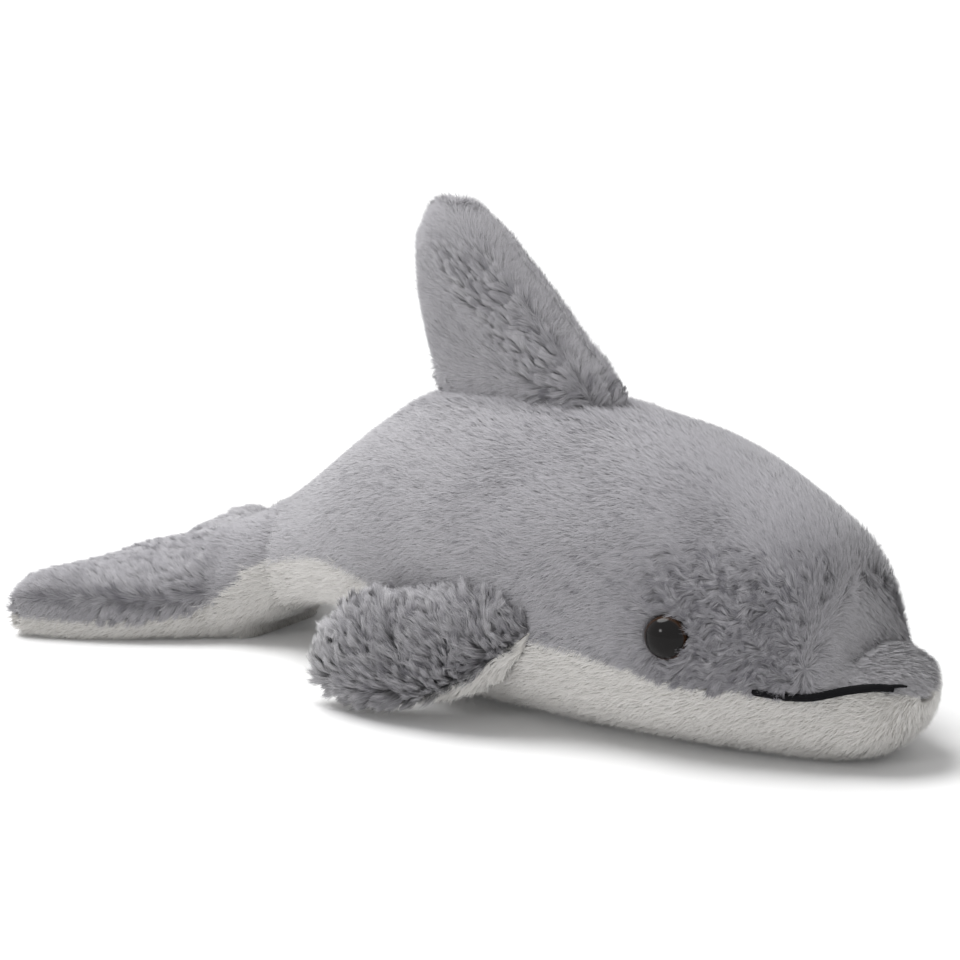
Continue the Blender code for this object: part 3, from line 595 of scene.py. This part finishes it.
def finTone(root, rng):
    behind = finEdge(root)
    height = root[:, 2]
    # the dashes are painted shade between the tufts
    dashes = ripple(root, fin["dashSize"], 55, (-0.6, 0, 0.8), 2.6)
    tone = fin["level"] - fin["dashDepth"] * ramp(dashes, 0.9, 2.0) + rng.normal(0, fin["speckle"], len(root))
    # painted light along the front edge
    tone += fin["frontPaintedLight"] * (1 - ramp(behind, 3 * mm, 7 * mm))
    tone += fin["paleTip"] * ramp(height, 0.115, 0.130)
    # painted shade in the tousled middle
    tone -= fin["middlePaintedShade"] * ramp(behind, 5 * mm, 9 * mm) * (1 - ramp(behind, 18 * mm, 28 * mm))
    # painted shade along the parting
    parting = 1 - ramp(np.abs(behind - fin["parting"]), 0.5 * mm, 3.0 * mm)
    tone -= fin["partingPaintedShade"] * parting * ramp(-height, -0.128, -0.100)
    # painted shade at the fin's base
    base = 1 - ramp(height, fin["base"], fin["base"] + 0.010)
    tone -= fin["basePaintedShade"] * base * (1 - ramp(behind, 18 * mm, 34 * mm))
    return clamp(tone)


def finShape(root):
    # smooth behind, tousled towards the parting, with a thicker tuft low at the front
    behind = finEdge(root)
    height = root[:, 2]
    tousled = ramp(behind, 4 * mm, 9 * mm) * (1 - ramp(behind, 20 * mm, 35 * mm))
    tousled *= 1 - ramp(height, 0.118, 0.126)
    low = (1 - ramp(height, fin["base"], fin["base"] + 0.010)) * (1 - ramp(behind, 20 * mm, 34 * mm))
    return {"height": fin["height"] * (0.8 + 0.5 * tousled + 0.5 * low),
            "gather": 0.1 + 0.58 * np.maximum(tousled, low)}


for word in ("right", "left"):
    blades = fin["blades"] if word == "right" else fin["blades"] * 2 // 3
    dressPlain(f"dorsal_fin_{word}_panel", "dorsal_fin_filling", greyBacking, greyPile,
               dict(fin, blades=blades), finComb, finTone, shape=finShape)


# Flippers

flipper = {
    "blades": 50000, "length": 4.3 * mm, "height": 2.5 * mm, "width": 0.18 * mm,
    "uneven": 0.45, "stray": 0.40, "tuft": 0.95 * mm, "gather": 0.62, "glint": 0.2, "bent": True, "seed": 61,
    # the dashes are painted shade among the strands
    "level": 0.62, "speckle": 0.08, "dashSize": 2.0 * mm, "dashDepth": 0.30, "paleTip": 0.40,
}
flipperUnder = dict(belly, blades=14000, height=1.8 * mm, gather=0.3, seed=62)


def flipperComb(root, normal):
    swirl = ripple(root, 9 * mm, 63)
    comb = np.tile(np.array([-0.62, 0, 0.78]), (len(root), 1))
    comb[:, 0] += 0.5 * swirl
    low = 1 - ramp(root[:, 2], 0.006, 0.012)
    return comb * (1 - low[:, None]) + np.array([-0.7, 0, -0.5]) * low[:, None]


def flipperTone(root, rng):
    # painted shade among the strands, paler out at the tip
    dashes = ripple(root, flipper["dashSize"], 64, (-0.6, 0, 0.8), 2.5)
    tone = flipper["level"] - flipper["dashDepth"] * ramp(dashes, 0.3, 1.7)
    tone += rng.normal(0, flipper["speckle"], len(root))
    return clamp(tone + flipper["paleTip"] * (1 - ramp(root[:, 0], -0.024, -0.004)))


for word in ("right", "left"):
    blades = flipper["blades"] if word == "right" else flipper["blades"] // 2
    filling = f"flipper_{word}_filling"
    dressPlain(f"flipper_{word}_top", filling, greyBacking, greyShag,
               dict(flipper, blades=blades), flipperComb, flipperTone, facing=-0.1)
    dressPlain(f"flipper_{word}_under", filling, whiteBacking, whitePile, flipperUnder,
               combTowards(-1, 0, -0.3), speckledTone(0.55, 0.1, 2.5 * mm, (1, 0, 0)), facing=0.0)


# Tail flukes

fluke = {
    "blades": 105000, "length": 3.6 * mm, "height": 1.6 * mm, "width": 0.26 * mm,
    "uneven": 0.3, "stray": 0.4, "tuft": 1.3 * mm, "glint": 0.16, "bent": False, "seed": 71,
    # the dashes are painted shade between the tufts
    "partingZ": 0.0125, "tip": 0.041, "level": 0.52, "speckle": 0.05, "dashSize": 1.8 * mm, "dashDepth": 0.22,
    # painted light on the far lobe and the tips, painted shade along the parting
    "farLobePaintedLight": 0.14, "paleTip": 0.18, "partingPaintedShade": 0.20,
}
flukeUnder = dict(belly, blades=30000, seed=72)


def partingHeight(root):
    # height of a root above the parting that runs along the front of each lobe
    near = ramp(np.abs(root[:, 1]), 0.018, 0.034)
    return root[:, 2] - (fluke["partingZ"] + 0.006 * (1 - near))


def flukeComb(root, normal):
    above = ramp(partingHeight(root), -1.5 * mm, 1.5 * mm)
    front = ramp(normal[:, 0], 0.15, 0.45)
    down = (1 - above) * front
    swirl = ripple(root, 10 * mm, 73)
    comb = np.tile(np.array([-0.9, 0, 0.45]), (len(root), 1))
    comb[:, 2] += 0.25 * swirl
    return comb * (1 - down[:, None]) + np.array([-0.6, 0, -0.8]) * down[:, None]


def flukeTone(root, rng):
    # painted light on the far lobe and at the tips, painted shade along the parting and in the dashes
    dashes = ripple(root, fluke["dashSize"], 75, (1, 0, -0.3), 2.8)
    tone = fluke["level"] - fluke["dashDepth"] * ramp(dashes, 0.9, 2.0)
    tone += rng.normal(0, fluke["speckle"], len(root)) + fluke["farLobePaintedLight"] * ramp(root[:, 1], 0.0, 0.02)
    rift = ripple(root, 6 * mm, 76)
    parting = 1 - ramp(np.abs(partingHeight(root)), 0.3 * mm, 2.2 * mm)
    # painted shade along the parting
    tone -= (fluke["partingPaintedShade"] + 0.08 * rift) * parting * ramp(-root[:, 0], 0.080, 0.090)
    # painted light at the tips
    return clamp(tone + fluke["paleTip"] * ramp(np.abs(root[:, 1]), 0.046, 0.055))


def flukeShape(root):
    # tousled along the lobes, short and smooth at their tips and where the tail begins
    calm = ramp(np.abs(root[:, 1]), fluke["tip"], fluke["tip"] + 0.010)
    calm = np.maximum(calm, ramp(root[:, 0], -0.092, -0.080))
    return {"length": fluke["length"] * (1 - 0.35 * calm), "height": fluke["height"] * (1 - 0.3 * calm),
            "gather": 0.5 * (1 - calm) + 0.06}


def flukeUnderShape(root):
    calm = ramp(np.abs(root[:, 1]), fluke["tip"], fluke["tip"] + 0.010)
    return {"length": flukeUnder["length"] * (1 - 0.5 * calm)}


dressPlain("tail_fluke_top", "tail_fluke_filling", greyBacking, greyPile,
           fluke, flukeComb, flukeTone, shape=flukeShape)
dressPlain("tail_fluke_under", "tail_fluke_filling", whiteBacking, whitePile, flukeUnder,
           combTowards(-1, 0, -0.1), speckledTone(0.6, 0.08, 2.5 * mm, (1, 0, 0)), shape=flukeUnderShape)


# Tail seam: a band over the joint, so that the pile runs on from the body to the flukes

tail = {
    "front": -0.0680, "rear": -0.0860, "points": 72, "rows": 5,
    "blades": 22000, "length": 3.0 * mm, "height": 1.3 * mm, "width": 0.30 * mm,
    "uneven": 0.3, "stray": 0.35, "tuft": 1.3 * mm, "gather": 0.1, "glint": 0.10, "bent": False, "seed": 81,
    "greyLevel": 0.56, "whiteLevel": 0.60, "speckle": 0.05,
    "white": ("belly_panel", "tail_fluke_under"),
    "grey": ("body_side_right", "body_side_left", "tail_fluke_top"),
}


def makeTailBand():
    # two rings drawn in on to the panels, bridged, rounded and closed
    whole = bmesh.new()
    for nodeName in tail["grey"] + tail["white"] + ("body_filling", "tail_fluke_filling"):
        whole.from_mesh(nodes[nodeName].data)
    panels = BVHTree.FromBMesh(whole)
    whole.free()
    bm = bmesh.new()
    for x in (tail["front"], tail["rear"]):
        top = panels.ray_cast(Vector((x, 0, 0.2)), Vector((0, 0, -1)))[0].z
        centre = Vector((x, 0, top * 0.55))
        ring = bmesh.ops.create_circle(bm, segments=tail["points"], radius=0.07)["verts"]
        turn = Matrix.Rotation(math.pi / 2, 4, "Y")
        bmesh.ops.transform(bm, verts=ring, matrix=Matrix.Translation(centre) @ turn)
        for vert in ring:
            vert.co = panels.ray_cast(vert.co, centre - vert.co)[0]
    bmesh.ops.bridge_loops(bm, edges=bm.edges)
    across = [edge for edge in bm.edges if abs(edge.verts[0].co.x - edge.verts[1].co.x) > 5 * mm]
    bmesh.ops.subdivide_edges(bm, edges=across, cuts=tail["rows"], use_grid_fill=True)
    middle = [vert for vert in bm.verts if not vert.is_boundary]
    for _ in range(3):
        bmesh.ops.smooth_vert(bm, verts=middle, factor=0.5, use_axis_y=True, use_axis_z=True)
    for x in (tail["front"], tail["rear"]):       # both ends are closed inside the stuffing
        rim = [edge for edge in bm.edges if edge.is_boundary and abs(edge.verts[0].co.x - x) < mm]
        bmesh.ops.contextual_create(bm, geom=rim)
    bmesh.ops.recalc_face_normals(bm, faces=bm.faces)
    mesh = bpy.data.meshes.new("tail_band")
    bm.to_mesh(mesh)
    bm.free()
    return mesh


def dressTail():
    rng = np.random.default_rng(tail["seed"])
    mesh = makeTailBand()
    band = bpy.data.objects.new("tail_band", mesh)
    bpy.context.scene.collection.objects.link(band)
    middles = np.array([face.center for face in mesh.polygons])
    white = distanceTo(middles, *tail["white"]) < distanceTo(middles, *tail["grey"])
    for material in (greyBacking, whiteBacking):
        mesh.materials.append(material)
    for face in mesh.polygons:
        face.material_index = int(white[face.index])
    mesh.shade_smooth()
    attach(band, "root")
    around = {face.index for face in mesh.polygons if len(face.vertices) == 4}
    root, normal = scatter(trianglesOf(mesh, around), tail["blades"], rng)
    white = distanceTo(root, *tail["white"]) < distanceTo(root, *tail["grey"])
    for part, word, material in ((~white, "grey", greyPile), (white, "white", whitePile)):
        way = np.tile(np.array([-1, 0, -0.15]), (part.sum(), 1))
        tone = tail[word + "Level"] + rng.normal(0, tail["speckle"], part.sum())
        makePile(f"tail_band_{word}_pile", root[part], normal[part], way, tail, tone, material,
                 rng)


dressTail()


# Eyes and mouth

def plainFinish(name, color, plain):
    finish = Finish(name, plain)
    grain = finish.noise(500.0, 3.0)
    return finish.color(finish.mix(grain * 0.3, color, tuple(0.7 * c for c in color)))


eye = {
    "pupil": (0.004, 0.003, 0.003), "ring": (0.055, 0.026, 0.013), "ringStart": 0.84, "ringMiddle": 0.92,
    "gloss": 0.09, "scuff": 0.06, "specular": 0.2,
}


def dressEye(word):
    # the domed eye; the attribute runs from 0 at its middle to 1 at its rim
    dome = skinOf(f"eye_{word}_dome", f"eye_{word}", levels=2)
    co = corners(dome.data)
    middle = co.mean(0)
    spread, ways = np.linalg.eigh(np.cov((co - middle).T))
    axis = ways[:, 2 if spread[2] - spread[1] > spread[1] - spread[0] else 0]      # the one unlike the others
    out = co - middle
    radial = np.linalg.norm(out - np.outer(out @ axis, axis), axis=1)
    ring = (radial / radial.max()).astype(np.float32)
    dome.data.attributes.new("ring", "FLOAT", "POINT").data.foreach_set("value", ring)
    dome.data.materials.clear()
    dome.data.materials.append(eyeFinish)
    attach(dome, "root")
    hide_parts(f"eye_{word}")


def dressMouth(word):
    # the plumped line; the left one's front end sinks under the pile
    line = skinOf(f"mouth_line_{word}_stitch", f"mouth_line_{word}", levels=2)
    for vert in line.data.vertices:
        gone = float(ramp(vert.co.x, *mouth["sinkFrom"])) if word == "left" else 0.0
        inward = Vector((-0.7, -0.7, 0.0)) * (mouth["sink"] * gone)
        vert.co += vert.normal * (mouth["plump"] * (1 - gone)) + inward
    line.data.materials.clear()
    line.data.materials.append(threadFinish)
    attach(line, "root")
    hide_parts(f"mouth_line_{word}")


def stitchTip():
    # the right line runs on a little way round the snout and thins out
    path = bpy.data.curves.new("mouth_tip_path", "CURVE")
    path.dimensions = "3D"
    path.bevel_depth = mouth["thread"]
    path.bevel_resolution = 3
    spline = path.splines.new("NURBS")
    spline.points.add(len(mouth["tip"]) - 1)
    for index, place in enumerate(mouth["tip"]):
        spline.points[index].co = (*place, 1.0)
        spline.points[index].radius = 1.0 - 0.6 * (index / (len(mouth["tip"]) - 1)) ** 2
    spline.order_u = 3
    spline.use_endpoint_u = True
    path.use_fill_caps = True
    holder = bpy.data.objects.new("mouth_tip_path", path)
    mesh = bpy.data.meshes.new_from_object(holder)
    bpy.data.objects.remove(holder)
    mesh.name = "mouth_tip_right"
    mesh.materials.clear()
    mesh.materials.append(threadFinish)
    mesh.shade_smooth()
    tip = bpy.data.objects.new("mouth_tip_right", mesh)
    bpy.context.scene.collection.objects.link(tip)
    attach(tip, "root")


def makeEyeFinish():
    finish = Finish("eye_gloss", {"Specular IOR Level": eye["specular"]})
    stops = [(0.0, eye["pupil"]), (eye["ringStart"], eye["pupil"]),
             (eye["ringMiddle"], eye["ring"]), (1.0, eye["pupil"])]
    scuff = finish.noise(300.0, 2.0)
    ring = finish.node("ShaderNodeValToRGB", {"stops": stops}, [finish.attribute("ring")])
    finish.put(finish.shader.inputs["Roughness"], scuff * eye["scuff"] + eye["gloss"])
    return finish.color(finish.mix(scuff * 0.3, ring, eye["pupil"]))


eyeFinish = makeEyeFinish()
threadFinish = plainFinish("black_thread", (0.006, 0.006, 0.007),
                           {"Roughness": 0.8, "Specular IOR Level": 0.1})
fibreFinish = plainFinish("fibre", (0.8, 0.8, 0.8), {"Roughness": 0.95})
nylonFinish = plainFinish("nylon", (0.75, 0.75, 0.72), {"Roughness": 0.45})
for nodeName, node in nodes.items():
    for part, material in (("eye_washer", nylonFinish), ("filling", fibreFinish)):
        if part in nodeName:
            node.data.materials.clear()
            node.data.materials.append(material)
for word in ("right", "left"):
    dressEye(word)
    dressMouth(word)
stitchTip()
print("eyes and mouth ready")


# Stage, lights and camera

studio = {
    "azimuth": 37.0, "elevation": 14.5, "distance": 1.3, "target": (-0.037, 0.0387, 0.043), "width": 0.28,
    "ambient": 0.38, "floorGlow": 0.04,
    # strength, angle and direction of the large soft lamp, and of the small one that shows in the eye
    "suns": [(2.85, 40.0, (-0.55, -0.10, 1.20)), (0.25, 9.0, (-0.20, -0.92, 0.42))],
    "floor": (0.90, 0.90, 0.90),
}


def makeFloor():
    bm = bmesh.new()
    bmesh.ops.create_grid(bm, x_segments=1, y_segments=1, size=20.0)
    mesh = bpy.data.meshes.new("floor")
    bm.to_mesh(mesh)
    bm.free()
    floor = bpy.data.objects.new("floor", mesh)
    bpy.context.scene.collection.objects.link(floor)
    finish = Finish("floor_white", {"Roughness": 0.9, "Emission Strength": studio["floorGlow"]})
    finish.color(studio["floor"])
    glow = finish.mix(finish.background(), (0.0, 0.0, 0.0), (1.0, 1.0, 1.0))
    finish.put(finish.shader.inputs["Emission Color"], glow)
    mesh.materials.append(finish.material)


def makeLights():
    world = bpy.data.worlds.new("studio")
    bpy.context.scene.world = world
    world.use_nodes = True
    sky = Tree(world.node_tree)
    light = sky.tree.nodes["Background"]
    ambient = (studio["ambient"],) * 3
    sky.put(light.inputs["Color"], sky.mix(sky.background(), ambient, (1.0, 1.0, 1.0)))
    for strength, angle, way in studio["suns"]:
        sun = bpy.data.lights.new("sun", "SUN")
        sun.energy = strength
        sun.angle = math.radians(angle)
        lamp = bpy.data.objects.new("sun", sun)
        lamp.rotation_euler = Vector(way).to_track_quat("Z", "Y").to_euler()
        bpy.context.scene.collection.objects.link(lamp)


def makeCamera():
    azimuth, elevation = (math.radians(studio[key]) for key in ("azimuth", "elevation"))
    back = Vector((math.sin(azimuth) * math.cos(elevation), -math.cos(azimuth) * math.cos(elevation),
                   math.sin(elevation)))
    data = bpy.data.cameras.new("camera")
    data.sensor_width = 36.0
    data.lens = 36.0 * studio["distance"] / studio["width"]
    camera = bpy.data.objects.new("camera", data)
    camera.location = Vector(studio["target"]) + back * studio["distance"]
    camera.rotation_euler = back.to_track_quat("Z", "Y").to_euler()
    bpy.context.scene.collection.objects.link(camera)
    bpy.context.scene.camera = camera


makeFloor()
makeLights()
makeCamera()
bpy.context.scene.view_settings.view_transform = "Standard"
print("stage, lights and camera ready")
